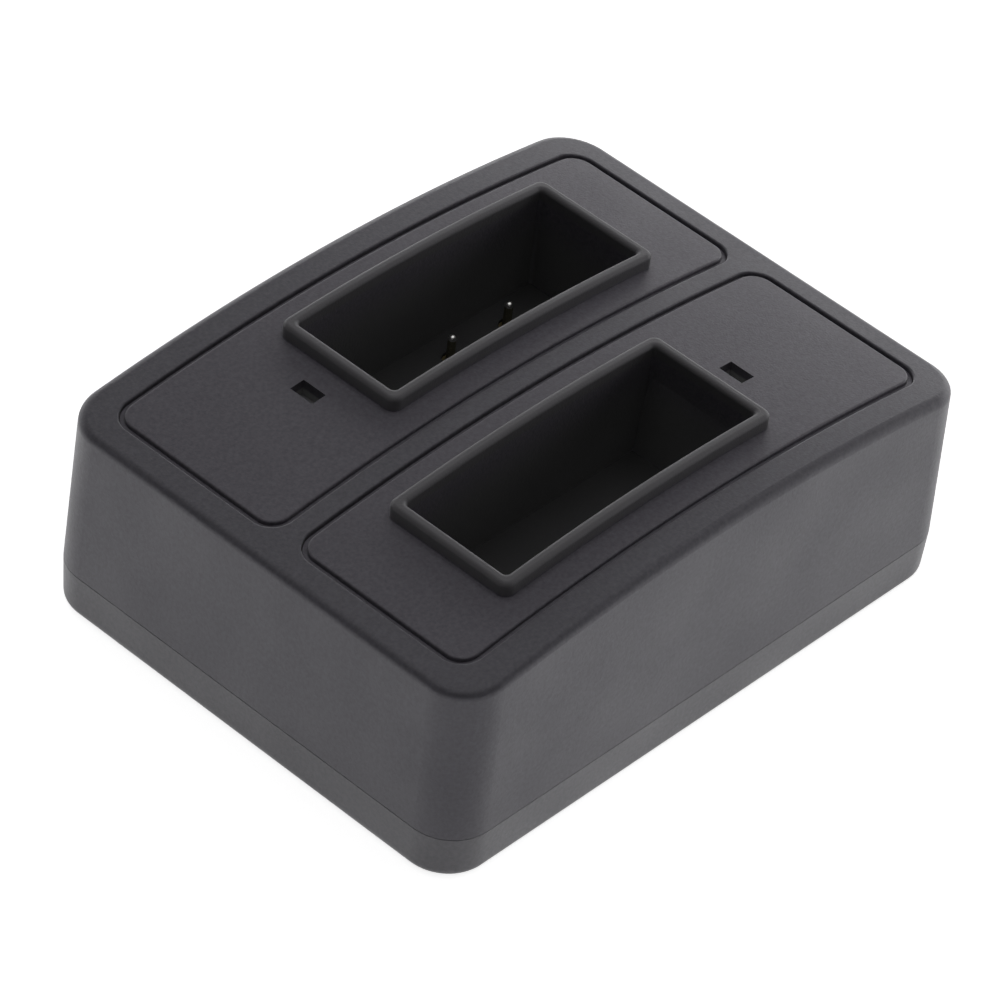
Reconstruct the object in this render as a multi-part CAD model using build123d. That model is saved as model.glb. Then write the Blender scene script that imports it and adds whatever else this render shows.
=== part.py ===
"""Twin-bay camera battery charger, in millimetres.

Frame: +X along the long side, +Y to the back (the USB inlet's wall), +Z up, origin on the table under the
middle of the base. The two battery panels are one moulding, the front one turned half round about Z.
"""
import os
from math import copysign, radians, tan

from build123d import *

# Outside form
body_length = 80.0          # at the parting line
body_width = 61.0           # at the parting line
crown_height = 28.6         # middle of the arched top above the table
parting_height = 5.7        # seam between base and housing
corner_radius = 5.4         # upright corners
arch_radius = 243.0         # the top curves along X
end_draft = 0.8             # degrees, short walls lean in
side_draft = 1.5            # degrees, long walls lean in
base_taper = 2.0            # degrees, base walls lean in downwards
top_edge_radius = 1.1
base_edge_radius = 1.2
seam_edge_radius = 0.08     # both edges of the seam

# Walls and the lip joint between base and housing
wall = 2.0
top_wall = 2.0
base_floor = 2.0
lip_height = 1.5
lip_clearance = 0.1

# Battery panels and their openings in the housing
frame_end = 3.7             # housing's top left standing at the short sides
frame_side = 4.55           # housing's top left standing at the long sides
bar_width = 2.5             # bar of the housing between the panels
panel_gap = 0.6             # groove round each panel
groove_depth = 0.5          # down to the flange round the panel's foot
flange_gap = 0.1            # from that flange to the opening's wall
mouth_edge_radius = 0.2     # edges of the openings
panel_thickness = 2.0
panel_corner_radius = 2.3
panel_edge_radius = 0.25
ledge_width = 1.0           # how far a panel rests on its ledge
ledge_thickness = 1.5
well_wall = 1.5             # upstand of the housing round each opening
seat_clearance = 0.05       # under the panel, on its arched ledge

# Battery pocket in a panel
pocket_length = 38.5
pocket_width = 14.5
pocket_shift = 5.65         # pocket's middle from the panel's middle, along X
pocket_depth = 13.0         # floor below the crown
pocket_wall = 1.5
pocket_floor = 1.5
pocket_corner_radius = 0.5
rim_width = 1.4
rim_height = 1.77           # above the panel's face
rim_flat = 0.3              # left between the two rounded edges of the rim
rim_corner_radius = 1.2     # outside corners
ramp_start = 3.1            # top of the guide ramp below the crown
ramp_foot = 1.2             # how far the ramp reaches in at the floor

# Snap hooks at the panel's ends
hook_width = 6.0
hook_thickness = 1.2
hook_catch = 0.7            # reach of the barb under the ledge
hook_barb = 1.6             # height of the barb
hook_clearance = 0.2

# Status light: window in the panel, light guide, LED
window_length = 2.0         # along X
window_width = 3.3          # along Y
window_gap = 3.0            # from the rim's foot to the window
window_recess = 1.9         # light guide's face below the panel's face
guide_clearance = 0.05
sleeve_wall = 1.2
sleeve_depth = 7.5          # sleeve below the panel's face
guide_flange = 1.0          # thickness of the light guide's stop
led_length = 1.6
led_width = 3.2
led_height = 1.1
led_gap = 0.3               # from LED to light guide

# Circuit board
board_thickness = 1.6
board_corner_radius = 1.1
board_end_gap = 1.5         # board's short edges to the housing's screw bosses
board_side_gap = 1.2        # board's long edges to the housing's walls

# Sprung contact pins
pin_spacing = 9.1
pin_end_distance = 7.4      # outer pin from the pocket's end
pin_side_distance = 3.45    # pins from the pocket's outer side
pin_stand = 3.25            # tip above the pocket floor
pin_stem_radius = 0.5
pin_collar_radius = 0.61
pin_collar_height = 1.0
pin_running_clearance = 0.04
barrel_length = 6.3         # above the board
barrel_wall = 0.25
barrel_lip = 0.4            # turned-in mouth that holds the collar
barrel_drop = 0.3           # barrel's mouth below the pocket floor
barrel_base = 0.8           # solid foot of the barrel
barrel_flange = 0.5
flange_reach = 0.4          # flange past the barrel
tail_radius = 0.4
tail_length = 2.2
hole_clearance = 0.1        # barrel in the pocket floor, tail in the board
spring_wire_radius = 0.08
spring_wire_sides = 8       # enough for so fine a wire
spring_turns = 6
spring_clearance = 0.03     # spring to its seats and bore

# Micro USB socket and its port in the back wall
usb_width = 7.5
usb_height = 2.65
usb_depth = 5.6
usb_sheet = 0.3
usb_setback = 0.15          # socket's face behind the wall
usb_bevel = 0.9             # lower corners of the shell
tongue_width = 3.7
tongue_thickness = 0.6
tongue_block = 1.4          # depth of the insert's back block
tongue_setback = 0.4        # tongue's tip behind the socket's face
contact_count = 5
contact_pitch = 0.65
contact_width = 0.35
contact_length = 2.8
contact_thickness = 0.15
port_gap = 0.5              # hole in the wall round the socket
port_recess = 1.0           # seat for a plug's overmould
recess_margin = 1.6

# Screws
screw_radius = 1.1
screw_length = 10.0
screw_head_radius = 2.0
screw_head_height = 1.6
screw_clearance = 0.1
counterbore_depth = 2.6
counterbore_gap = 0.25
boss_radius = 2.5
base_boss_radius = 3.4
boss_side_gap = 0.6         # base bosses to the walls beside them
boss_gap = 0.05             # housing boss above the base's boss
boss_rib = 1.2
rib_edge_radius = 0.4
drive_width = 0.5           # cross recess in every screw head
drive_span = 2.3
drive_depth = 0.7
post_radius = 2.4
post_inset_x = 3.5          # board screws from the board's ends
post_inset_y = 6.2          # board screws from the board's long edges
board_screw_radius = 1.0
board_screw_length = 5.5
board_screw_head_radius = 1.8
board_screw_head_height = 1.2

# Parts on the board
controller_length = 4.9
controller_width = 3.9
controller_height = 1.5
controller_leads = 4        # each side
lead_pitch = 1.27
lead_width = 0.42
lead_reach = 1.0
inductor_side = 6.0
inductor_height = 3.0
inductor_core_radius = 2.1
inductor_groove = 0.4       # round groove between core and shield
capacitor_radius = 2.5
capacitor_height = 4.0
capacitor_base = 5.3
capacitor_end_gap = 5.1     # from the board's short edge
capacitor_plinth = 0.5      # height of the square base
resistor_length = 1.6
resistor_width = 0.8
resistor_height = 0.5
resistor_pitch = 2.0
resistor_count = 4          # beside each charge controller
part_spacing = 1.0          # between neighbours on the board
part_corner_radius = 0.6    # moulded and cased parts, seen from above
part_edge = 0.15            # bevel round the top of chips and LEDs

# Places worked out from the sizes above
opening_length = body_length - 2 * frame_end
opening_width = (body_width - bar_width) / 2 - frame_side
opening_radius = panel_corner_radius + panel_gap
panel_length = opening_length - 2 * panel_gap
panel_width = opening_width - 2 * panel_gap
panel_y = (bar_width + opening_width) / 2
floor_z = crown_height - pocket_depth
barrel_top = floor_z - barrel_drop
board_top = barrel_top - barrel_length
board_height = board_top - board_thickness
ledge_depth = panel_thickness + seat_clearance + ledge_thickness
pocket_end = pocket_shift + pocket_length / 2
pocket_start = pocket_shift - pocket_length / 2
window_x = pocket_start - rim_width - window_gap - window_length / 2
pin_y = panel_y + pocket_width / 2 - pin_side_distance
screw_inset = wall + boss_side_gap + base_boss_radius
screw_x = body_length / 2 - screw_inset
screw_y = body_width / 2 - screw_inset
reach = body_length + body_width + crown_height


def wall_inset(z, angle):
    """How far a leaning wall has moved in at height z."""
    return (z - parting_height) * tan(radians(angle))


inner_back = body_width / 2 - wall - wall_inset(board_top + usb_height, side_draft)
board_length = 2 * (screw_x - boss_radius - board_end_gap)
board_width = 2 * (inner_back - board_side_gap)
post_x = board_length / 2 - post_inset_x
post_y = board_width / 2 - post_inset_y


def leaning_block(inset, bottom, top, end_angle, side_angle):
    """Block with four leaning walls and round upright corners, each wall moved in by inset."""
    def outline(z):
        length = body_length - 2 * (inset + wall_inset(z, end_angle))
        width = body_width - 2 * (inset + wall_inset(z, side_angle))
        return Pos(0, 0, z) * Rectangle(length, width)

    block = loft([outline(bottom), outline(top)], ruled=True)
    uprights = block.edges().group_by(Axis.Z)[1]
    return fillet(uprights, corner_radius - inset)


def drafted_block(inset, bottom, top):
    """Block inside the housing's walls, which lean in upwards."""
    return leaning_block(inset, bottom, top, end_draft, side_draft)


def base_block(inset, bottom, top):
    """Block inside the base's walls, which lean in downwards."""
    return leaning_block(inset, bottom, top, -base_taper, -base_taper)


def under_arch(depth):
    """All that lies deeper than depth below the arched top."""
    return Pos(0, 0, crown_height - arch_radius) * Rot(90, 0, 0) * Cylinder(arch_radius - depth, reach)


def column(x, y, length, width, radius, bottom, top=crown_height + reach):
    """Upright block with rounded corners, centred on x and y."""
    return Pos(x, y, bottom) * extrude(RectangleRounded(length, width, radius), amount=top - bottom)


def post(x, y, radius, bottom, top):
    """Upright round post."""
    return Pos(x, y, (bottom + top) / 2) * Cylinder(radius, top - bottom)


def half_turn(shape):
    """The same piece in the front half of the charger."""
    return Rot(0, 0, 180) * shape


def screw_places(x, y):
    """The four corners of a screw pattern."""
    return [(sx * x, sy * y) for sx in (1, -1) for sy in (1, -1)]


def pin_places():
    """Contact pins of the rear bay, the outer one first."""
    return [(pocket_end - pin_end_distance - i * pin_spacing, pin_y) for i in range(2)]


def back_plane(y, z):
    """Sketch plane that faces the back."""
    return Plane(origin=(0, y, z), x_dir=(-1, 0, 0), z_dir=(0, 1, 0))


def make_top_housing():
    """Moulded shell: arched top, two stepped panel openings, screw bosses, port in the back wall."""
    shell = drafted_block(0, parting_height, crown_height + 1) & under_arch(0)
    shell = fillet(shell.faces().sort_by(Axis.Z)[-1].edges(), top_edge_radius)
    shell = fillet(shell.faces().sort_by(Axis.Z)[0].edges(), seam_edge_radius)
    shell -= drafted_block(wall, parting_height - 1, crown_height) & under_arch(top_wall)
    shell -= drafted_block(wall / 2, parting_height - 1, parting_height + lip_height + lip_clearance)

    # bosses hang from the top, each tied to the two walls beside it
    rib_bottom = parting_height + lip_height + 2 * lip_clearance
    bosses = []
    for x, y in screw_places(screw_x, screw_y):
        end_x = x + copysign(screw_inset, x)
        side_y = y + copysign(screw_inset, y)
        bosses.append(post(x, y, boss_radius, parting_height + boss_gap, crown_height))
        bosses.append(column(end_x, y, 2 * screw_inset, boss_rib, rib_edge_radius, rib_bottom))
        bosses.append(column(x, side_y, boss_rib, 2 * screw_inset, rib_edge_radius, rib_bottom))
    inside = drafted_block(wall / 2, parting_height, crown_height) & under_arch(top_wall / 2)
    for boss in bosses:
        shell += boss & inside
    for x, y in screw_places(screw_x, screw_y):
        hole_top = counterbore_depth + screw_length + 2 * screw_clearance
        shell -= post(x, y, screw_radius + screw_clearance, parting_height, hole_top)

    # upstand and ledge round each opening, then the opening and the way through for the pocket
    for y in (panel_y, -panel_y):
        well = column(0, y, opening_length + 2 * well_wall, opening_width + 2 * well_wall,
                      opening_radius + well_wall, 0)
        shell += (well & under_arch(top_wall / 2)) - under_arch(ledge_depth)
    for y in (panel_y, -panel_y):
        opening = column(0, y, opening_length, opening_width, opening_radius, 0)
        shell -= opening - under_arch(panel_thickness + seat_clearance)
        way = column(0, y, panel_length - 2 * ledge_width, panel_width - 2 * ledge_width,
                     panel_corner_radius, 0)
        shell -= way - under_arch(ledge_depth)
    top_face = shell.faces().filter_by(GeomType.CYLINDER).sort_by(Axis.Z)[-1]
    mouths = [edge for wire in top_face.inner_wires() for edge in wire.edges()]
    shell = fillet(mouths, mouth_edge_radius)

    # inlet port: hole for the socket, and a shallow seat round it for the plug's overmould
    port_z = board_top + usb_height / 2
    outer_back = body_width / 2 - wall_inset(port_z, side_draft)
    hole = RectangleRounded(usb_width + 2 * port_gap, usb_height + 2 * port_gap, port_gap)
    seat_width = usb_width + 2 * (port_gap + recess_margin)
    seat_height = usb_height + 2 * (port_gap + recess_margin)
    seat = RectangleRounded(seat_width, seat_height, recess_margin)
    shell -= extrude(back_plane(outer_back - 2 * wall, port_z) * hole, amount=4 * wall)
    shell -= extrude(back_plane(outer_back - port_recess, port_z) * seat, amount=2 * wall)
    return shell


def make_base_cover():
    """Moulded tray: lip for the housing, screw bosses, posts for the board."""
    tray = base_block(0, 0, parting_height)
    tray = fillet(tray.faces().sort_by(Axis.Z)[0].edges(), base_edge_radius)
    tray = fillet(tray.faces().sort_by(Axis.Z)[-1].edges(), seam_edge_radius)
    tray -= base_block(wall, base_floor, parting_height + 1)
    lip = drafted_block(wall / 2 + lip_clearance, parting_height - base_floor, parting_height + lip_height)
    tray += lip - drafted_block(wall, 0, parting_height + 2 * lip_height)
    for x, y in screw_places(screw_x, screw_y):
        tray += post(x, y, base_boss_radius, base_floor / 2, parting_height)
        tray -= post(x, y, screw_head_radius + counterbore_gap, 0, counterbore_depth)
        tray -= post(x, y, screw_radius + screw_clearance, 0, parting_height)
    for x, y in screw_places(post_x, post_y):
        tray += post(x, y, post_radius, base_floor / 2, board_height)
        hole_bottom = board_top - board_screw_length - 2 * screw_clearance
        tray -= post(x, y, board_screw_radius + screw_clearance, hole_bottom, board_height)
    return tray


def make_battery_panel():
    """Arched plate, flanged at its foot, with a rimmed battery pocket, a light sleeve and two snap hooks."""
    plate = column(0, panel_y, panel_length, panel_width, panel_corner_radius, 0) & under_arch(0)
    plate -= under_arch(panel_thickness)
    plate = fillet(plate.faces().sort_by(Axis.Z)[-1].edges(), panel_edge_radius)
    step = panel_gap - flange_gap
    flange = column(0, panel_y, panel_length + 2 * step, panel_width + 2 * step,
                    panel_corner_radius + step, 0)
    plate += (flange & under_arch(groove_depth)) - under_arch(panel_thickness)

    # pocket walls below the plate and the rim above it
    tub_length = pocket_length + 2 * pocket_wall
    tub_width = pocket_width + 2 * pocket_wall
    tub_radius = pocket_corner_radius + pocket_wall
    tub = column(pocket_shift, panel_y, tub_length, tub_width, tub_radius, floor_z - pocket_floor)
    plate += tub & under_arch(panel_thickness / 2)
    pocket = column(pocket_shift, panel_y, pocket_length, pocket_width, pocket_corner_radius, floor_z)
    rim = column(pocket_shift, panel_y, pocket_length + 2 * rim_width, pocket_width + 2 * rim_width,
                 rim_corner_radius, floor_z)
    rim = (rim & under_arch(-rim_height)) - under_arch(panel_thickness / 2) - pocket
    rim = fillet(rim.faces().sort_by(Axis.Z)[-1].edges(), (rim_width - rim_flat) / 2)
    plate = (plate - pocket) + rim

    # guide ramp on the end wall away from the pins
    ramp = Polyline(
        (pocket_start - pocket_wall / 2, crown_height - ramp_start),
        (pocket_start, crown_height - ramp_start),
        (pocket_start + ramp_foot, floor_z),
        (pocket_start + ramp_foot, floor_z - pocket_floor / 2),
        (pocket_start - pocket_wall / 2, floor_z - pocket_floor / 2),
        close=True,
    )
    ramp_width = pocket_width + pocket_wall
    plate += extrude(Plane.XZ.offset(-panel_y) * make_face(ramp), amount=ramp_width / 2, both=True)
    for x, y in pin_places():
        plate -= post(x, y, barrel_radius() + hole_clearance, floor_z - 2 * pocket_floor, floor_z + 1)

    # sleeve that holds the light guide under its window
    sleeve_length = window_length + 2 * sleeve_wall
    sleeve_width = window_width + 2 * sleeve_wall
    sleeve = column(window_x, panel_y, sleeve_length, sleeve_width, sleeve_wall / 2, sleeve_bottom())
    plate += sleeve & under_arch(panel_thickness / 2)
    plate -= Pos(window_x, panel_y, crown_height) * Box(window_length, window_width, 4 * sleeve_depth)

    # snap hooks reach down past the ledge at both ends and catch under it
    hook_x = panel_length / 2 - ledge_width - hook_clearance
    catch_depth = ledge_depth + seat_clearance
    for end in (1, -1):
        arm = Pos(end * (hook_x - hook_thickness / 2), panel_y, crown_height)
        arm *= Box(hook_thickness, hook_width, reach)
        barb = Pos(end * (hook_x + hook_catch / 2 - hook_thickness / 2), panel_y, crown_height)
        barb *= Box(hook_thickness + hook_catch, hook_width, reach)
        plate += (arm & under_arch(panel_thickness / 2)) - under_arch(catch_depth + hook_barb)
        plate += (barb & under_arch(catch_depth)) - under_arch(catch_depth + hook_barb)
    return plate


def panel_face_z(x):
    """Height of the arched top at x."""
    return crown_height - arch_radius + (arch_radius ** 2 - x ** 2) ** 0.5


def sleeve_bottom():
    """Lower end of the light sleeve."""
    return panel_face_z(window_x) - sleeve_depth


def make_light_guide():
    """Clear bar from the LED up to the window, with a stop under the sleeve."""
    length = window_length - 2 * guide_clearance
    width = window_width - 2 * guide_clearance
    stop_length = window_length + sleeve_wall
    stop_width = window_width + sleeve_wall
    bottom = board_top + led_height + led_gap
    bar = column(window_x, panel_y, length, width, guide_clearance, bottom) & under_arch(window_recess)
    stop = column(window_x, panel_y, stop_length, stop_width, sleeve_wall / 2,
                  sleeve_bottom() - guide_flange, sleeve_bottom())
    return bar + stop


def make_status_led():
    """Small surface-mount LED with bevelled top edges."""
    body = column(window_x, panel_y, led_length, led_width, part_edge, board_top, board_top + led_height)
    return chamfer(body.faces().sort_by(Axis.Z)[-1].edges(), part_edge)


def barrel_bore():
    """Bore radius of a contact barrel."""
    return pin_collar_radius + pin_running_clearance


def barrel_radius():
    """Outside radius of a contact barrel."""
    return barrel_bore() + barrel_wall


collar_top = barrel_top - barrel_lip - pin_running_clearance / 2
collar_bottom = collar_top - pin_collar_height
bore_bottom = board_top + barrel_base
pin_tip = floor_z + pin_stand


def make_barrel(x, y):
    """Turned barrel: tail through the board, flange on it, bore with a turned-in mouth."""
    barrel = post(x, y, barrel_radius(), board_top, barrel_top)
    barrel += post(x, y, barrel_radius() + flange_reach, board_top, board_top + barrel_flange)
    barrel += post(x, y, tail_radius, board_top - tail_length, board_top + barrel_base / 2)
    barrel -= post(x, y, barrel_bore(), bore_bottom, barrel_top - barrel_lip)
    barrel -= post(x, y, pin_stem_radius + pin_running_clearance, bore_bottom, barrel_top)
    return barrel


def make_plunger(x, y):
    """Turned plunger: collar kept in the barrel, slim stem, round tip."""
    plunger = post(x, y, pin_stem_radius, collar_bottom, pin_tip - pin_stem_radius)
    plunger += post(x, y, pin_collar_radius, collar_bottom, collar_top)
    plunger += Pos(x, y, pin_tip - pin_stem_radius) * Sphere(pin_stem_radius)
    return plunger


def make_spring(x, y):
    """Coil spring between the barrel's foot and the plunger's collar."""
    bottom = bore_bottom + spring_clearance + spring_wire_radius
    top = collar_bottom - spring_clearance - spring_wire_radius
    radius = barrel_bore() - 2 * spring_clearance - spring_wire_radius
    coil = Helix(pitch=(top - bottom) / spring_turns, height=top - bottom, radius=radius)
    section = Plane(origin=coil @ 0, z_dir=coil % 0) * RegularPolygon(spring_wire_radius, spring_wire_sides)
    return Pos(x, y, bottom) * sweep(section, path=coil, is_frenet=True)


def make_circuit_board():
    """Glass-fibre board with holes for its screws and the contact tails."""
    board = column(0, 0, board_length, board_width, board_corner_radius, board_height, board_top)
    for x, y in screw_places(post_x, post_y):
        board -= post(x, y, board_screw_radius + screw_clearance, board_height, board_top)
    for x, y in pin_places():
        tail_hole = post(x, y, tail_radius + hole_clearance, board_height, board_top)
        board -= tail_hole
        board -= half_turn(tail_hole)
    return board


usb_front = inner_back - usb_setback


def usb_outline(shrink):
    """Front outline of the socket: bevelled lower corners."""
    half = usb_width / 2 - shrink
    bottom = board_top + shrink
    top = board_top + usb_height - shrink
    bevel = usb_bevel - shrink / 2
    corners = Polyline(
        (-half, top), (half, top), (half, bottom + bevel), (half - bevel, bottom),
        (bevel - half, bottom), (-half, bottom + bevel), close=True,
    )
    return Plane.XZ * make_face(corners)


def make_usb_shell():
    """Folded sheet shell of the micro USB socket, open to the back wall."""
    shell = extrude(Pos(0, usb_front, 0) * usb_outline(0), amount=usb_depth)
    shell -= extrude(Pos(0, usb_front, 0) * usb_outline(usb_sheet), amount=usb_depth - usb_sheet)
    return shell


tongue_back = usb_front - usb_depth + usb_sheet
tongue_z = board_top + usb_height - usb_sheet - tongue_thickness


def make_usb_tongue():
    """Moulded insert of the socket: a back block and the contact tongue."""
    insert = extrude(Pos(0, tongue_back + tongue_block, 0) * usb_outline(usb_sheet), amount=tongue_block)
    length = usb_front - tongue_setback - tongue_back
    insert += Pos(0, tongue_back + length / 2, tongue_z) * Box(tongue_width, length, tongue_thickness)
    return insert


def make_usb_contacts():
    """Five contact strips under the tongue."""
    y = tongue_back + tongue_block + contact_length / 2
    z = tongue_z - tongue_thickness / 2 - contact_thickness / 2
    strip = Pos(0, y, z) * Box(contact_width, contact_length, contact_thickness)
    places = [(i - (contact_count - 1) / 2) * contact_pitch for i in range(contact_count)]
    return [Pos(x, 0, 0) * strip for x in places]


def make_screws(places, head_z, direction, radius, length, head_radius, head_height):
    """Pan-head screws with a cross recess, heads at head_z, shanks pointing up (1) or down (-1)."""
    screws = []
    for x, y in places:
        shank = Pos(0, 0, length / 2) * Cylinder(radius, length)
        head = Pos(0, 0, -head_height / 2) * Cylinder(head_radius, head_height)
        head = fillet(head.edges().sort_by(Axis.Z)[0], head_height / 3)
        drive = Box(drive_span, drive_width, 2 * drive_depth) + Box(drive_width, drive_span, 2 * drive_depth)
        screw = head + shank - Pos(0, 0, -head_height) * drive
        flip = Rot(0, 0, 0) if direction > 0 else Rot(180, 0, 0)
        screws.append(Pos(x, y, head_z) * flip * screw)
    return screws


inductor_x = pocket_start + inductor_side
controller_x = inductor_x + inductor_side / 2 + part_spacing + controller_length
inner_row_y = panel_y - part_spacing


def make_charge_controller():
    """Eight-lead charge controller chip."""
    y = inner_row_y - controller_width
    body = column(controller_x, y, controller_length, controller_width, part_edge,
                  board_top + part_edge, board_top + controller_height)
    chip = chamfer(body.faces().sort_by(Axis.Z)[-1].edges(), part_edge)
    lead_height = controller_height / 2
    for i in range(controller_leads):
        x = controller_x + (i - (controller_leads - 1) / 2) * lead_pitch
        lead = Pos(x, y, board_top + lead_height / 2)
        chip += lead * Box(lead_width, controller_width + 2 * lead_reach, lead_height)
    return chip


def make_boost_inductor():
    """Shielded power inductor: square ferrite with a round core."""
    top = board_top + inductor_height
    body = column(inductor_x, inner_row_y, inductor_side, inductor_side, part_corner_radius, board_top, top)
    ring = post(inductor_x, inner_row_y, inductor_core_radius + inductor_groove, top - inductor_groove, top)
    return body - (ring - post(inductor_x, inner_row_y, inductor_core_radius, board_top, top))


def make_bulk_capacitor():
    """Surface-mount can capacitor on its square base."""
    x = board_length / 2 - capacitor_end_gap - capacitor_base / 2
    y = inner_row_y - capacitor_base / 2
    plinth_top = board_top + capacitor_plinth
    plinth = column(x, y, capacitor_base, capacitor_base, part_corner_radius, board_top, plinth_top)
    can = post(x, y, capacitor_radius, board_top, board_top + capacitor_height)
    can = fillet(can.edges().sort_by(Axis.Z)[-1], part_edge)
    return plinth + can


def make_chip_resistors():
    """Chip resistors in a row beside each charge controller."""
    row_y = inner_row_y + controller_width / 2
    chips = []
    for i in range(resistor_count):
        x = controller_x + (i - (resistor_count - 1) / 2) * resistor_pitch
        chip = Pos(x, row_y, board_top + resistor_height / 2)
        chip *= Box(resistor_width, resistor_length, resistor_height)
        chips.append(chip)
        chips.append(half_turn(chip))
    return chips


def write(node, shapes):
    """Writes one node, a single solid or a group of like solids."""
    shapes = shapes if isinstance(shapes, list) else [shapes]
    solids = [solid for shape in shapes for solid in shape.solids()]
    whole = solids[0] if len(solids) == 1 else Compound(children=solids)
    export_step(whole, os.path.join("parts", node + ".step"))


os.makedirs("parts", exist_ok=True)
write("top_housing", make_top_housing())
write("base_cover", make_base_cover())
write("circuit_board", make_circuit_board())
write("usb_shell", make_usb_shell())
write("usb_tongue", make_usb_tongue())
write("usb_contacts", make_usb_contacts())

for name, make in (
    ("battery_panel", make_battery_panel),
    ("light_guide", make_light_guide),
    ("status_led", make_status_led),
    ("charge_controller", make_charge_controller),
    ("boost_inductor", make_boost_inductor),
    ("bulk_capacitor", make_bulk_capacitor),
):
    rear = make()
    write("rear_" + name, rear)
    write("front_" + name, half_turn(rear))

for pole, (x, y) in zip(("positive", "negative"), pin_places()):
    for name, make in (("barrel", make_barrel), ("plunger", make_plunger), ("spring", make_spring)):
        rear = make(x, y)
        write("rear_" + pole + "_" + name, rear)
        write("front_" + pole + "_" + name, half_turn(rear))

write("chip_resistors", make_chip_resistors())
write("housing_screws", make_screws(
    screw_places(screw_x, screw_y), counterbore_depth, 1,
    screw_radius, screw_length, screw_head_radius, screw_head_height))
write("board_screws", make_screws(
    screw_places(post_x, post_y), board_top, -1,
    board_screw_radius, board_screw_length, board_screw_head_radius, board_screw_head_height))
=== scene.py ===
"""Twin-bay camera battery charger: the looks of every piece, in the order in which it is put together.

Metres, +Z up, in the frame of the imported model: +X along the long side, +Y to the wall with the USB inlet.
"""
from math import cos, pi, radians, sin

import bpy
from mathutils import Matrix, Vector


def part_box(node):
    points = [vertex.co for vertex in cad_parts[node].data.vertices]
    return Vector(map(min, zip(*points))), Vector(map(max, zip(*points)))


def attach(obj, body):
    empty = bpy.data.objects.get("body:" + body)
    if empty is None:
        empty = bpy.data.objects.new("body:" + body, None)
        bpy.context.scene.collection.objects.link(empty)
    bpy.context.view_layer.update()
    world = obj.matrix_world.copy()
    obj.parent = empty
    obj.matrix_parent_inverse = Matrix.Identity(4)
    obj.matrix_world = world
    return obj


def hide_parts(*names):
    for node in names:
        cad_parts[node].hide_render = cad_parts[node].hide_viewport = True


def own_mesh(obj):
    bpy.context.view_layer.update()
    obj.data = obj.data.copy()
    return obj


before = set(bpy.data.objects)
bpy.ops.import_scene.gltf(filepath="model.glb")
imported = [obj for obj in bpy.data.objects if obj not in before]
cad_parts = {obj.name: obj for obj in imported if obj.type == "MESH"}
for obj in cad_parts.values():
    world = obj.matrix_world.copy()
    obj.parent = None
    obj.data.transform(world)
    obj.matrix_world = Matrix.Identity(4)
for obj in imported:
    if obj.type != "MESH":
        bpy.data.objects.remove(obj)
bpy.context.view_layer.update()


# Base cover: the tray that everything stands in, injection-moulded in black ABS from a spark-eroded tool.
# The tool leaves a fine satin grain on it, with soft clouds where the melt cooled unevenly.
def opened(material):
    """The shader of a material, with its nodes and links."""
    tree = material.node_tree
    return tree.nodes["Principled BSDF"], tree.nodes, tree.links


def shader_parts(name):
    """A new material with its Principled shader, and a way to add nodes to it."""
    material = bpy.data.materials.new(name)
    material.use_nodes = True
    return material, *opened(material)


def noise(nodes, links, scale, detail=2.0, roughness=0.5):
    """Noise over the piece's own coordinates, with about scale features to the metre."""
    place = nodes.new("ShaderNodeTexCoord")
    texture = nodes.new("ShaderNodeTexNoise")
    texture.inputs["Scale"].default_value = scale
    texture.inputs["Detail"].default_value = detail
    texture.inputs["Roughness"].default_value = roughness
    links.new(place.outputs["Object"], texture.inputs["Vector"])
    return texture.outputs["Fac"]


def spread(nodes, links, value, low, high, target, start=0.3, end=0.7):
    """Drives target from low to high as value goes from start to end."""
    ramp = nodes.new("ShaderNodeMapRange")
    ramp.inputs["From Min"].default_value = start
    ramp.inputs["From Max"].default_value = end
    ramp.inputs["To Min"].default_value = low
    ramp.inputs["To Max"].default_value = high
    links.new(value, ramp.inputs["Value"])
    links.new(ramp.outputs["Result"], target)


def two_tone(nodes, links, value, dark, light, target):
    """Colours target between dark and light with value."""
    ramp = nodes.new("ShaderNodeValToRGB")
    ramp.color_ramp.elements[0].position = 0.3
    ramp.color_ramp.elements[0].color = (*dark, 1)
    ramp.color_ramp.elements[1].position = 0.7
    ramp.color_ramp.elements[1].color = (*light, 1)
    links.new(value, ramp.inputs["Fac"])
    links.new(ramp.outputs["Color"], target)


def grain(nodes, links, height, depth, strength, shader):
    """Raises a fine relief of the given depth on the shader's surface."""
    bump = nodes.new("ShaderNodeBump")
    bump.inputs["Strength"].default_value = strength
    bump.inputs["Distance"].default_value = depth
    links.new(height, bump.inputs["Height"])
    links.new(bump.outputs["Normal"], shader.inputs["Normal"])


def moulded_black(name, dark, light, roughness):
    """Satin black ABS with spark-eroded grain, and a faint bloom where it is seen at a low angle."""
    material, shader, nodes, links = shader_parts(name)
    specks = noise(nodes, links, 2200, 4, 0.6)
    clouds = noise(nodes, links, 120, 3)
    pits = noise(nodes, links, 4000, 3)
    two_tone(nodes, links, specks, dark, light, shader.inputs["Base Color"])
    spread(nodes, links, clouds, roughness - 0.04, roughness + 0.04, shader.inputs["Roughness"])
    grain(nodes, links, pits, 0.00003, 0.9, shader)
    shader.inputs["Specular IOR Level"].default_value = 0.52
    shader.inputs["Specular Tint"].default_value = (0.96, 0.94, 1, 1)
    shader.inputs["Sheen Weight"].default_value = 0.15
    shader.inputs["Sheen Roughness"].default_value = 0.3
    return material


def dress(material, *nodes):
    """Gives carried-over pieces their finish."""
    for node in nodes:
        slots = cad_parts[node].data.materials
        slots.clear()
        slots.append(material)


# Painted light: the base is painted paler than the housing, standing in for the white floor's light on it.
base_black_painted_floor_light = moulded_black("base_black_painted_floor_light", (0.155, 0.152, 0.163), (0.212, 0.208, 0.222), 0.45)
dress(base_black_painted_floor_light, "base_cover")


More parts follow.
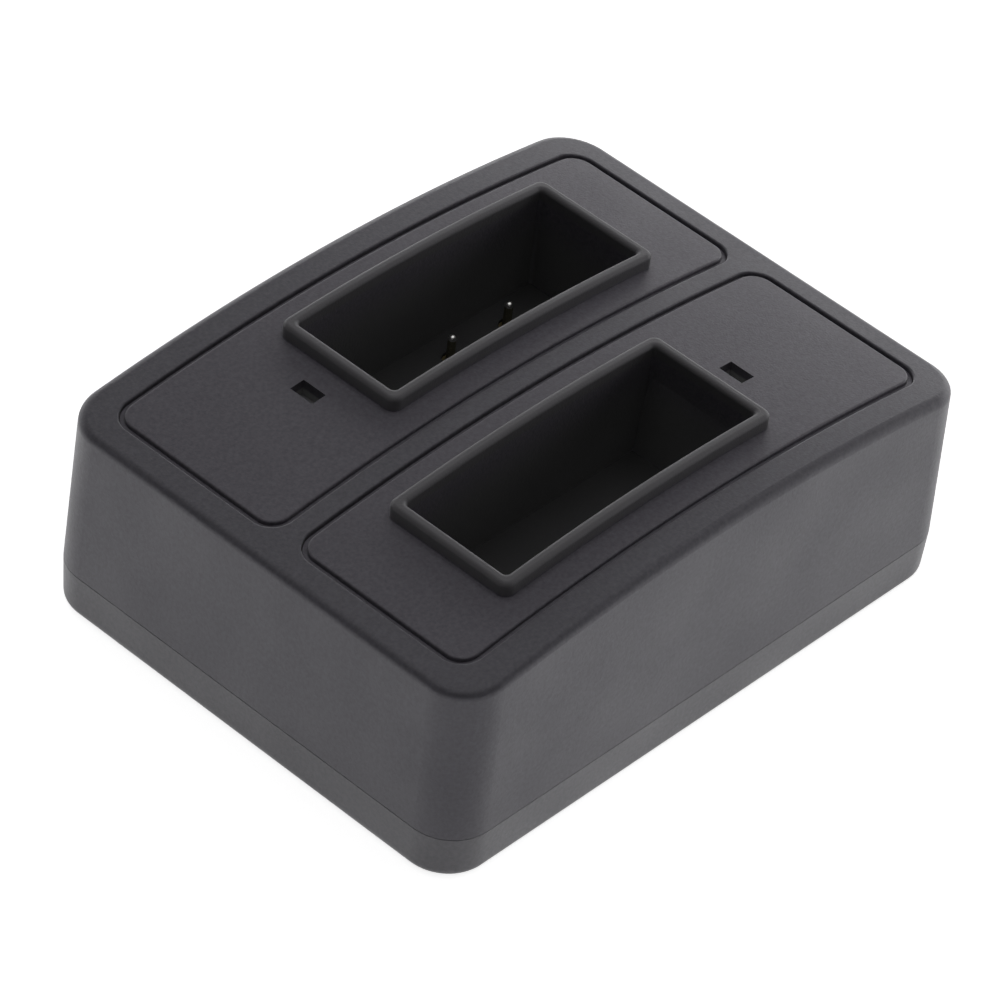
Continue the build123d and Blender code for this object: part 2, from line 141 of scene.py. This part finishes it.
# Circuit board: glass-fibre laminate with copper under green solder mask, screwed onto the base's posts.
# Its routed edges show the bare yellowish laminate, and copper areas show lighter through the mask.
def mixed(nodes, links, mask, below, above, target):
    """Colours target with the output below where mask is 0, and with the colour above where it is 1."""
    mix = nodes.new("ShaderNodeMix")
    mix.data_type = "RGBA"
    links.new(mask, mix.inputs[0])
    links.new(below, mix.inputs[6])
    mix.inputs[7].default_value = (*above, 1)
    links.new(mix.outputs[2], target)


def measured(nodes, links, operation, value, other=0.0):
    """One step of arithmetic on a value of the surface."""
    step = nodes.new("ShaderNodeMath")
    step.operation = operation
    links.new(value, step.inputs[0])
    step.inputs[1].default_value = other
    return step.outputs[0]


board_mask, shader, nodes, links = shader_parts("board_mask")
copper = nodes.new("ShaderNodeTexVoronoi")
copper.distance = "CHEBYCHEV"
copper.inputs["Scale"].default_value = 260
place = nodes.new("ShaderNodeTexCoord")
links.new(place.outputs["Object"], copper.inputs["Vector"])
mask_green = nodes.new("ShaderNodeValToRGB")
mask_green.color_ramp.interpolation = "CONSTANT"
mask_green.color_ramp.elements[0].color = (0.010, 0.105, 0.040, 1)
mask_green.color_ramp.elements[1].color = (0.006, 0.062, 0.024, 1)
mask_green.color_ramp.elements[1].position = 0.45
links.new(copper.outputs["Distance"], mask_green.inputs["Fac"])
facing = nodes.new("ShaderNodeSeparateXYZ")
links.new(place.outputs["Normal"], facing.inputs[0])
edge = measured(nodes, links, "LESS_THAN", measured(nodes, links, "ABSOLUTE", facing.outputs["Z"]), 0.5)
mixed(nodes, links, edge, mask_green.outputs["Color"], (0.42, 0.36, 0.19), shader.inputs["Base Color"])
spread(nodes, links, noise(nodes, links, 700), 0.28, 0.38, shader.inputs["Roughness"])
grain(nodes, links, copper.outputs["Distance"], 0.00003, 0.5, shader)
dress(board_mask, "circuit_board")


# Parts on the board: charge controllers in moulded epoxy with tinned leads, pressed ferrite inductors,
# aluminium can capacitors on plastic bases, glazed resistors with tinned ends and milky white LEDs.
def surface_place(nodes, links):
    """X, Y and Z of the surface."""
    place = nodes.new("ShaderNodeTexCoord")
    parts = nodes.new("ShaderNodeSeparateXYZ")
    links.new(place.outputs["Object"], parts.inputs[0])
    return parts.outputs


def beyond(nodes, links, axis, middle, half):
    """1 where a piece is further than half from middle along an axis, alike in both bays."""
    reach = measured(nodes, links, "ABSOLUTE", surface_place(nodes, links)[axis])
    offset = measured(nodes, links, "SUBTRACT", reach, middle)
    return measured(nodes, links, "GREATER_THAN", measured(nodes, links, "ABSOLUTE", offset), half)


def tipped(name, dark, light, roughness, axis, middle, half, tip, tip_roughness):
    """A moulded or fired body whose ends, beyond half from its middle, are metal."""
    material, shader, nodes, links = shader_parts(name)
    body = nodes.new("ShaderNodeValToRGB")
    body.color_ramp.elements[0].color = (*dark, 1)
    body.color_ramp.elements[1].color = (*light, 1)
    links.new(noise(nodes, links, 2500, 4), body.inputs["Fac"])
    ends = beyond(nodes, links, axis, middle, half)
    mixed(nodes, links, ends, body.outputs["Color"], tip, shader.inputs["Base Color"])
    links.new(ends, shader.inputs["Metallic"])
    spread(nodes, links, ends, roughness, tip_roughness, shader.inputs["Roughness"], 0, 1)
    grain(nodes, links, noise(nodes, links, 9000), 0.00001, 0.4, shader)
    return material


def box_middle(node):
    """Middle of a carried-over piece."""
    low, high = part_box(node)
    return (Vector(low) + Vector(high)) / 2


tin = (0.62, 0.62, 0.60)
chip_middle = box_middle("rear_charge_controller").y
chip_half_width = 0.00196
chip_epoxy = tipped("chip_epoxy", (0.018, 0.018, 0.018), (0.030, 0.030, 0.031), 0.55,
                    "Y", chip_middle, chip_half_width, tin, 0.3)
dress(chip_epoxy, "rear_charge_controller", "front_charge_controller")

resistor_half, glaze_half = 0.0008, 0.00055
resistor_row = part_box("chip_resistors")[1][1] - resistor_half
resistor_glaze = tipped("resistor_glaze", (0.012, 0.012, 0.014), (0.020, 0.020, 0.024), 0.25,
                        "Y", resistor_row, glaze_half, tin, 0.35)
dress(resistor_glaze, "chip_resistors")

ferrite, shader, nodes, links = shader_parts("pressed_ferrite")
powder = noise(nodes, links, 3000, 5)
two_tone(nodes, links, powder, (0.035, 0.035, 0.037), (0.075, 0.075, 0.078), shader.inputs["Base Color"])
spread(nodes, links, noise(nodes, links, 1200), 0.5, 0.65, shader.inputs["Roughness"])
grain(nodes, links, noise(nodes, links, 5000, 4), 0.00003, 0.5, shader)
dress(ferrite, "rear_boost_inductor", "front_boost_inductor")

plinth_height = 0.0005
plinth_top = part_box("rear_bulk_capacitor")[0][2] + plinth_height
can_aluminium = tipped("can_aluminium", (0.015, 0.015, 0.015), (0.025, 0.025, 0.025), 0.5,
                       "Z", 0, plinth_top, (0.80, 0.80, 0.81), 0.22)
dress(can_aluminium, "rear_bulk_capacitor", "front_bulk_capacitor")

led_resin, shader, nodes, links = shader_parts("led_resin")
milk = noise(nodes, links, 2000, 3)
two_tone(nodes, links, milk, (0.66, 0.62, 0.42), (0.74, 0.70, 0.52), shader.inputs["Base Color"])
spread(nodes, links, noise(nodes, links, 1500), 0.3, 0.4, shader.inputs["Roughness"])
shader.inputs["Subsurface Weight"].default_value = 0.2
shader.inputs["Subsurface Radius"].default_value = (0.001, 0.001, 0.0008)
dress(led_resin, "rear_status_led", "front_status_led")


# Contact barrels: brass turned on a lathe and thinly gold-flashed, soldered into the board by their tails.
# The tool leaves fine rings round them, and the flash has dulled.
def turned_metal(name, dark, light, roughness):
    """Plated metal with the fine rings that turning leaves about an upright axis."""
    material, shader, nodes, links = shader_parts(name)
    two_tone(nodes, links, noise(nodes, links, 2500, 3), dark, light, shader.inputs["Base Color"])
    shader.inputs["Metallic"].default_value = 1
    place = nodes.new("ShaderNodeTexCoord")
    rings = nodes.new("ShaderNodeTexWave")
    rings.bands_direction = "Z"
    rings.inputs["Scale"].default_value = 9000
    rings.inputs["Distortion"].default_value = 1.5
    links.new(place.outputs["Object"], rings.inputs["Vector"])
    ring = rings.outputs["Fac"]
    spread(nodes, links, ring, roughness - 0.05, roughness + 0.05, shader.inputs["Roughness"], 0, 1)
    grain(nodes, links, ring, 0.000003, 0.5, shader)
    return material


barrel_gold = turned_metal("barrel_gold", (0.34, 0.27, 0.13), (0.42, 0.34, 0.17), 0.35)
poles = ("rear_positive", "rear_negative", "front_positive", "front_negative")
for pole in poles:
    dress(barrel_gold, pole + "_barrel")


# Contact springs: coils of drawn stainless wire, one in each barrel under its plunger.
# On the charger a coil shortens as a battery presses its plunger down; here each coil is built at its resting
# length.
def deselect():
    """Takes everything out of the selection, so that operators act on the next piece alone."""
    bpy.ops.object.select_all(action="DESELECT")


def clear_picks(piece, mode):
    """Leaves nothing of the piece selected, ready for faces or edges to be picked."""
    bpy.context.view_layer.objects.active = piece
    bpy.ops.object.mode_set(mode="EDIT")
    bpy.ops.mesh.select_mode(type=mode)
    bpy.ops.mesh.select_all(action="DESELECT")
    bpy.ops.object.mode_set(mode="OBJECT")


def pick_faces(piece, wanted):
    """Selects the faces whose middle and normal are wanted, in edit mode."""
    clear_picks(piece, "FACE")
    for face in piece.data.polygons:
        face.select = wanted(face.center, face.normal)
    bpy.ops.object.mode_set(mode="EDIT")


def pick_edges(piece, wanted):
    """Selects the edges whose two ends are both wanted, in edit mode."""
    clear_picks(piece, "EDGE")
    points = piece.data.vertices
    for edge in piece.data.edges:
        edge.select = all(wanted(points[end].co) for end in edge.vertices)
    bpy.ops.object.mode_set(mode="EDIT")


def pick_all(piece):
    """Selects the whole piece, in edit mode."""
    clear_picks(piece, "FACE")
    bpy.ops.object.mode_set(mode="EDIT")
    bpy.ops.mesh.select_all(action="SELECT")


def close_edit():
    """Leaves edit mode."""
    bpy.ops.object.mode_set(mode="OBJECT")


def set_in_mesh():
    """Puts the place, turn and size of the piece just added into its mesh."""
    bpy.ops.object.transform_apply(location=True, rotation=True, scale=True)


def modify(piece, kind, **settings):
    """Adds a modifier to the piece, sets it and applies it."""
    bpy.context.view_layer.objects.active = piece
    modifier = piece.modifiers.new(kind, kind)
    for name, value in settings.items():
        setattr(modifier, name, value)
    bpy.ops.object.modifier_apply(modifier=modifier.name)


def winding(section, radius, start, pitch, turns, steps):
    """Winds a flat section, drawn round the origin in the XZ plane, into a closed helix about Z."""
    pick_all(section)
    bpy.ops.transform.translate(value=(radius, 0, start))
    close_edit()
    modify(section, "SCREW", angle=2 * pi, screw_offset=pitch, iterations=turns,
           steps=steps, render_steps=steps)
    pick_all(section)
    bpy.ops.mesh.remove_doubles(threshold=0.000001)
    bpy.ops.mesh.fill_holes(sides=0)
    bpy.ops.mesh.normals_make_consistent(inside=False)
    close_edit()


def copy_at(piece, name, x, y, z=0.0, turn=0.0):
    """A copy of the piece with a mesh of its own, turned about Z and moved to its place in that mesh."""
    twin = piece.copy()
    twin.data = piece.data.copy()
    twin.name = name
    bpy.context.scene.collection.objects.link(twin)
    twin.data.transform(Matrix.Translation((x, y, z)) @ Matrix.Rotation(turn, 4, "Z"))
    return twin


wire_radius = 0.00008
spring_turns = 6
low, high = (Vector(corner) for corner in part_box("rear_positive_spring"))
spring_radius = (high.x - low.x) / 2 - wire_radius
spring_pitch = (high.z - low.z - 2 * wire_radius) / spring_turns

deselect()
bpy.ops.mesh.primitive_circle_add(vertices=12, radius=wire_radius, rotation=(pi / 2, 0, 0))
coil = bpy.context.object
set_in_mesh()
winding(coil, spring_radius, low.z + wire_radius, spring_pitch, spring_turns, 32)
bpy.ops.object.shade_smooth()

spring_wire, shader, nodes, links = shader_parts("spring_wire")
drawing = noise(nodes, links, 4000, 3)
two_tone(nodes, links, drawing, (0.40, 0.40, 0.41), (0.50, 0.50, 0.51), shader.inputs["Base Color"])
shader.inputs["Metallic"].default_value = 1
spread(nodes, links, noise(nodes, links, 6000), 0.22, 0.34, shader.inputs["Roughness"])
coil.data.materials.append(spring_wire)
for pole in poles:
    middle = box_middle(pole + "_spring")
    spring = copy_at(coil, pole + "_contact_spring", middle.x, middle.y)
    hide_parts(pole + "_spring")
    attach(spring, "charger")
    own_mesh(spring)
bpy.data.objects.remove(coil)


# Contact plungers: turned brass, thinly plated and dulled, kept in their barrels by a collar.
# Their round tips, rubbed bright by use, stand up from the pocket floors and slide down under a battery.
def overlaid(shader, nodes, links, mask, colour):
    """Lays a second colour over the shader's own where mask is 1."""
    own = shader.inputs["Base Color"].links[0].from_socket
    mixed(nodes, links, mask, own, colour, shader.inputs["Base Color"])


tip_height = 0.0006
plunger_gold = turned_metal("plunger_gold", (0.30, 0.28, 0.19), (0.38, 0.36, 0.25), 0.3)
shader, nodes, links = opened(plunger_gold)
tip_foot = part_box("rear_positive_plunger")[1][2] - tip_height
tip = measured(nodes, links, "GREATER_THAN", surface_place(nodes, links)["Z"], tip_foot)
overlaid(shader, nodes, links, tip, (0.95, 0.94, 0.91))
for pole in poles:
    dress(plunger_gold, pole + "_plunger")


# Board screws: four small pan-head steel screws that hold the board on the base's posts.
# Like the housing screws they are cold-headed, with a cross recess and a rolled coarse thread.
def cross_recess(screw, span, width, depth, head_height):
    """Stamps a tapered cross into the underside of a screw's head."""
    for turn in (0, pi / 2):
        deselect()
        bpy.ops.mesh.primitive_cube_add(size=1, location=(0, 0, -head_height), rotation=(0, 0, turn),
                                        scale=(span, width, 2 * depth))
        punch = bpy.context.object
        set_in_mesh()
        pick_faces(punch, lambda middle, normal: normal.z > 0.9)
        bpy.ops.transform.resize(value=(0.55, 0.55, 1), center_override=(0, 0, depth - head_height))
        close_edit()
        modify(screw, "BOOLEAN", operation="DIFFERENCE", solver="EXACT", object=punch)
        bpy.data.objects.remove(punch)


def pan_head_screw(name, head_radius, head_height, thread_radius, length):
    """A pan-head screw with its thread pointing up and the head's seat at the origin."""
    core_radius = 0.76 * thread_radius
    thread_depth = thread_radius - core_radius
    thread_pitch = 0.9 * thread_radius
    thread_end = 0.86 * length
    deselect()
    bpy.ops.mesh.primitive_cylinder_add(vertices=48, radius=head_radius, depth=head_height,
                                        location=(0, 0, -head_height / 2))
    screw = bpy.context.object
    screw.name = name
    set_in_mesh()
    pick_edges(screw, lambda point: point.z < -0.9 * head_height)
    bpy.ops.mesh.bevel(offset=head_height / 3, segments=6, affect="EDGES")
    pick_faces(screw, lambda middle, normal: normal.z > 0.9)
    bpy.ops.mesh.inset(thickness=head_radius - core_radius)
    bpy.ops.mesh.extrude_region_move(TRANSFORM_OT_translate={"value": (0, 0, 0.9 * length)})
    bpy.ops.mesh.extrude_region_move(TRANSFORM_OT_translate={"value": (0, 0, 0.1 * length)})
    bpy.ops.transform.resize(value=(0.4, 0.4, 1), center_override=(0, 0, length))
    close_edit()
    cross_recess(screw, 1.15 * head_radius, 0.25 * head_radius, 0.45 * head_height, head_height)

    deselect()
    bpy.ops.mesh.primitive_circle_add(vertices=4, radius=thread_depth,
                                      rotation=(pi / 2, 0, 0), scale=(1, 0.6, 1))
    thread = bpy.context.object
    set_in_mesh()
    turns = int(thread_end / thread_pitch)
    winding(thread, core_radius, thread_end - turns * thread_pitch, thread_pitch, turns, 24)
    modify(screw, "BOOLEAN", operation="UNION", solver="EXACT", object=thread)
    bpy.data.objects.remove(thread)
    deselect()
    screw.select_set(True)
    bpy.ops.object.shade_smooth_by_angle(angle=radians(35))
    return screw


def screw_set(screw, name, places, seat):
    """Copies of a screw at its places, each stopped at a turn of its own, joined into one set."""
    deselect()
    for x, y in places:
        copy = copy_at(screw, name, x, y, seat, turn=x * 900 + y * 400)
        copy.select_set(True)
        bpy.context.view_layer.objects.active = copy
    bpy.ops.object.join()
    bpy.data.objects.remove(screw)
    joined = bpy.context.object
    joined.name = name
    return joined


zinc_steel, shader, nodes, links = shader_parts("zinc_steel")
spangle = noise(nodes, links, 1800, 4)
two_tone(nodes, links, spangle, (0.33, 0.33, 0.34), (0.46, 0.46, 0.46), shader.inputs["Base Color"])
shader.inputs["Metallic"].default_value = 1
spread(nodes, links, noise(nodes, links, 3000, 3), 0.25, 0.42, shader.inputs["Roughness"])
grain(nodes, links, noise(nodes, links, 12000), 0.000004, 0.4, shader)

board_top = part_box("circuit_board")[1][2]
board_head_radius = 0.0018
post_x, post_y = (reach - board_head_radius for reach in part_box("board_screws")[1][:2])
board_screw = pan_head_screw("board_screw", board_head_radius, head_height=0.0012, thread_radius=0.001,
                             length=0.0055)
board_screw.data.transform(Matrix.Rotation(pi, 4, "X"))
board_screw.data.materials.append(zinc_steel)
board_screws = screw_set(board_screw, "board_screw_set",
                         [(x, y) for x in (post_x, -post_x) for y in (post_y, -post_y)], board_top)
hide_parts("board_screws")
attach(board_screws, "charger")


# Micro USB inlet: a nickel-plated shell folded from sheet, round a black insert with five gold contacts.
# It is soldered to the board's back edge, just inside the port in the back wall.
usb_low, usb_high = (Vector(corner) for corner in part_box("usb_shell"))
usb_size = usb_high - usb_low
usb_middle = (usb_high + usb_low) / 2
sheet = 0.0003
slant = 0.0009
fold_radius = 0.0003
deselect()
bpy.ops.mesh.primitive_cube_add(size=1, location=usb_middle, scale=usb_size)
usb_shell = bpy.context.object
usb_shell.name = "usb_inlet_shell"
set_in_mesh()
clear_picks(usb_shell, "EDGE")
for edge in usb_shell.data.edges:
    ends = [usb_shell.data.vertices[end].co for end in edge.vertices]
    edge.select = ends[0].z < usb_middle.z and ends[0].x == ends[1].x and ends[0].z == ends[1].z
bpy.ops.object.mode_set(mode="EDIT")
bpy.ops.mesh.bevel(offset=slant, segments=1, affect="EDGES")
pick_faces(usb_shell, lambda middle, normal: normal.y > 0.9)
bpy.ops.mesh.delete(type="FACE")
close_edit()
modify(usb_shell, "BEVEL", width=fold_radius, segments=3, limit_method="ANGLE", angle_limit=radians(30))
modify(usb_shell, "SOLIDIFY", thickness=sheet, offset=-1, use_even_offset=True)
deselect()
usb_shell.select_set(True)
bpy.ops.object.shade_smooth_by_angle(angle=radians(35))
nickel, shader, nodes, links = shader_parts("nickel_sheet")
plating = noise(nodes, links, 900, 4)
two_tone(nodes, links, plating, (0.52, 0.51, 0.49), (0.62, 0.61, 0.59), shader.inputs["Base Color"])
shader.inputs["Metallic"].default_value = 1
spread(nodes, links, noise(nodes, links, 2500, 3), 0.18, 0.32, shader.inputs["Roughness"])
grain(nodes, links, noise(nodes, links, 9000), 0.000004, 0.4, shader)
usb_shell.data.materials.append(nickel)
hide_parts("usb_shell")
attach(usb_shell, "charger")

insert_black = moulded_black("insert_black", (0.016, 0.016, 0.016), (0.024, 0.024, 0.025), 0.4)
dress(insert_black, "usb_tongue")
contact_gold, shader, nodes, links = shader_parts("contact_gold")
flash = noise(nodes, links, 3000, 3)
two_tone(nodes, links, flash, (0.66, 0.44, 0.13), (0.74, 0.52, 0.18), shader.inputs["Base Color"])
shader.inputs["Metallic"].default_value = 1
spread(nodes, links, noise(nodes, links, 5000), 0.2, 0.3, shader.inputs["Roughness"])
dress(contact_gold, "usb_contacts")


# Top housing: the arched shell over the base, black ABS with the same grain, screwed on from below.
# Two stepped openings in its top take the battery panels, and its back wall has the USB port.
case_black = moulded_black("case_black", (0.083, 0.080, 0.091), (0.122, 0.118, 0.136), 0.45)
dress(case_black, "top_housing")


# Battery panels: two identical ABS mouldings, the front one turned half round, snapped into the openings.
# Each has a duller raised rim round its battery pocket. The pocket's walls are painted a plain grey and its
# floor dark, as painted light and shade, and the small window for the charge light has a sleeve painted paler
# further down, as painted light.
def combined(nodes, links, operation, one, other):
    """One step of arithmetic on two values."""
    step = nodes.new("ShaderNodeMath")
    step.operation = operation
    links.new(one, step.inputs[0])
    links.new(other, step.inputs[1])
    return step.outputs[0]


def faded(nodes, links, value, start, end, low, high):
    """Goes softly from low to high as value goes from start to end."""
    ramp = nodes.new("ShaderNodeMapRange")
    ramp.interpolation_type = "SMOOTHSTEP"
    ramp.inputs["From Min"].default_value = start
    ramp.inputs["From Max"].default_value = end
    ramp.inputs["To Min"].default_value = low
    ramp.inputs["To Max"].default_value = high
    links.new(value, ramp.inputs["Value"])
    return ramp.outputs["Result"]


arch_radius = 0.243
crown = 0.0286
rim_foot = 0.0002
wall_top, wall_low = -0.0004, -0.006
sleeve_top, sleeve_low = -0.0009, -0.0013
pocket_floor = 0.01562
window_start = -0.016
panel_black = moulded_black("panel_black", (0.090, 0.085, 0.099), (0.134, 0.126, 0.147), 0.45)
shader, nodes, links = opened(panel_black)
place = surface_place(nodes, links)
square = combined(nodes, links, "MULTIPLY", place["X"], place["X"])
drop = measured(nodes, links, "DIVIDE", square, 2 * arch_radius)
rise = measured(nodes, links, "SUBTRACT", combined(nodes, links, "ADD", place["Z"], drop), crown)
along = combined(nodes, links, "MULTIPLY", place["X"], measured(nodes, links, "SIGN", place["Y"]))

# Painted light and shade: the pocket walls fade to a plain grey deeper down, and the pocket floor is painted
# dark.
painted_pocket_wall_light = faded(nodes, links, rise, wall_low, wall_top, 1, 0)
overlaid(shader, nodes, links, painted_pocket_wall_light, (0.118, 0.118, 0.118))
painted_pocket_floor_shade = measured(nodes, links, "LESS_THAN", place["Z"], pocket_floor)
overlaid(shader, nodes, links, painted_pocket_floor_shade, (0.036, 0.036, 0.036))
# Painted light: the window sleeves are painted paler further down.
painted_sleeve_light = faded(nodes, links, rise, sleeve_low, sleeve_top, 1, 0)
windows = measured(nodes, links, "LESS_THAN", along, window_start)
overlaid(shader, nodes, links, combined(nodes, links, "MULTIPLY", painted_sleeve_light, windows), (0.29, 0.29, 0.29))

rims = measured(nodes, links, "GREATER_THAN", rise, rim_foot)
overlaid(shader, nodes, links, rims, (0.122, 0.119, 0.125))
spread(nodes, links, rims, 0.52, 0.45, shader.inputs["Specular IOR Level"], 0, 1)
rough = shader.inputs["Roughness"].links[0].from_socket
rougher = measured(nodes, links, "MULTIPLY", rims, 0.07)
links.new(combined(nodes, links, "ADD", rough, rougher), shader.inputs["Roughness"])
dress(panel_black, "rear_battery_panel", "front_battery_panel")


# Light guides: smoky clear acrylic bars, pushed up into the panels' sleeves from below.
# They carry the light of the LEDs up to the windows, a little below the face.
smoky_acrylic, shader, nodes, links = shader_parts("smoky_acrylic")
smoke = noise(nodes, links, 400, 2)
two_tone(nodes, links, smoke, (0.15, 0.15, 0.155), (0.19, 0.19, 0.195), shader.inputs["Base Color"])
spread(nodes, links, noise(nodes, links, 3000, 3), 0.3, 0.4, shader.inputs["Roughness"])
shader.inputs["Transmission Weight"].default_value = 0.3
shader.inputs["IOR"].default_value = 1.49
dress(smoky_acrylic, "rear_light_guide", "front_light_guide")


# Housing screws: four zinc-plated pan-head screws, driven up through the base into the housing's bosses.
# Their heads lie sunk in the base's counterbores.
screw_x, screw_y = 0.034, 0.0245
screw_seat = 0.0026
housing_screw = pan_head_screw("housing_screw", head_radius=0.002, head_height=0.0016, thread_radius=0.0011,
                               length=0.01)
housing_screw.data.materials.append(zinc_steel)
housing_screws = screw_set(housing_screw, "housing_screw_set",
                           [(x, y) for x in (screw_x, -screw_x) for y in (screw_y, -screw_y)], screw_seat)
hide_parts("housing_screws")
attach(housing_screws, "charger")


# Studio floor: a sheet of white paper, which reflections see at full white and the camera a little below it.
# The light that falls on it is added to that, so the charger's own soft shadow stays.
paper_glow = 0.85
hair = 0.00002
deselect()
bpy.ops.mesh.primitive_plane_add(size=6, location=(0, 0, -hair))
floor = bpy.context.object
floor.name = "studio_floor"
set_in_mesh()
floor_paper = bpy.data.materials.new("floor_paper")
floor_paper.use_nodes = True
nodes, links = floor_paper.node_tree.nodes, floor_paper.node_tree.links
nodes.clear()
paper = nodes.new("ShaderNodeBsdfDiffuse")
paper.inputs["Color"].default_value = (0.8, 0.8, 0.8, 1)
glow = nodes.new("ShaderNodeEmission")
rays = nodes.new("ShaderNodeLightPath")
both = nodes.new("ShaderNodeAddShader")
out = nodes.new("ShaderNodeOutputMaterial")
seen = measured(nodes, links, "MULTIPLY", rays.outputs["Is Camera Ray"], paper_glow)
mirrored = combined(nodes, links, "MAXIMUM", rays.outputs["Is Glossy Ray"],
                    rays.outputs["Is Transmission Ray"])
links.new(combined(nodes, links, "MAXIMUM", seen, mirrored), glow.inputs["Strength"])
links.new(paper.outputs[0], both.inputs[0])
links.new(glow.outputs[0], both.inputs[1])
links.new(both.outputs[0], out.inputs["Surface"])
floor.data.materials.append(floor_paper)


# Studio light: a white sweep glows behind the charger, brightest near the floor, under a weak ceiling panel.
# The room on the camera's side is dark, so the near edges stay deep and the far ones catch the light.
sweep_light = 2.35
sweep_azimuth = radians(62)
ceiling_light = 0.89
world = bpy.data.worlds.new("studio")
bpy.context.scene.world = world
world.use_nodes = True
nodes, links = world.node_tree.nodes, world.node_tree.links
nodes["Background"].inputs["Color"].default_value = (1, 1, 1, 1)
outlook = nodes.new("ShaderNodeTexCoord")
backward = nodes.new("ShaderNodeVectorMath")
backward.operation = "DOT_PRODUCT"
backward.inputs[1].default_value = (sin(sweep_azimuth), cos(sweep_azimuth), 0)
links.new(outlook.outputs["Generated"], backward.inputs[0])
upward = nodes.new("ShaderNodeSeparateXYZ")
links.new(outlook.outputs["Generated"], upward.inputs[0])
width = faded(nodes, links, backward.outputs["Value"], -0.2, 0.9, 0, sweep_light)
height = faded(nodes, links, upward.outputs["Z"], 0.2, 0.6, 1, 0)
ceiling = faded(nodes, links, upward.outputs["Z"], 0.74, 0.95, 0, ceiling_light)
sweep = combined(nodes, links, "MULTIPLY", width, height)
light = combined(nodes, links, "ADD", sweep, ceiling)
rays = nodes.new("ShaderNodeLightPath")
white = combined(nodes, links, "MAXIMUM", rays.outputs["Is Camera Ray"],
                 rays.outputs["Is Transmission Ray"])
links.new(combined(nodes, links, "MAXIMUM", light, white), nodes["Background"].inputs["Strength"])


# Camera: the photograph's view, through a long lens from the left front and above.
# It is rolled by a few degrees, as in the photograph.
lens = bpy.data.cameras.new("photo_camera")
lens.sensor_width = 36
lens.lens = 204.1
camera = bpy.data.objects.new("photo_camera", lens)
bpy.context.scene.collection.objects.link(camera)
camera.location = (-0.365965, -0.289696, 0.410315)
camera.rotation_euler = (radians(49.2002), radians(-5.8127), radians(-46.5339))
bpy.context.scene.camera = camera
bpy.context.scene.view_settings.view_transform = "Standard"
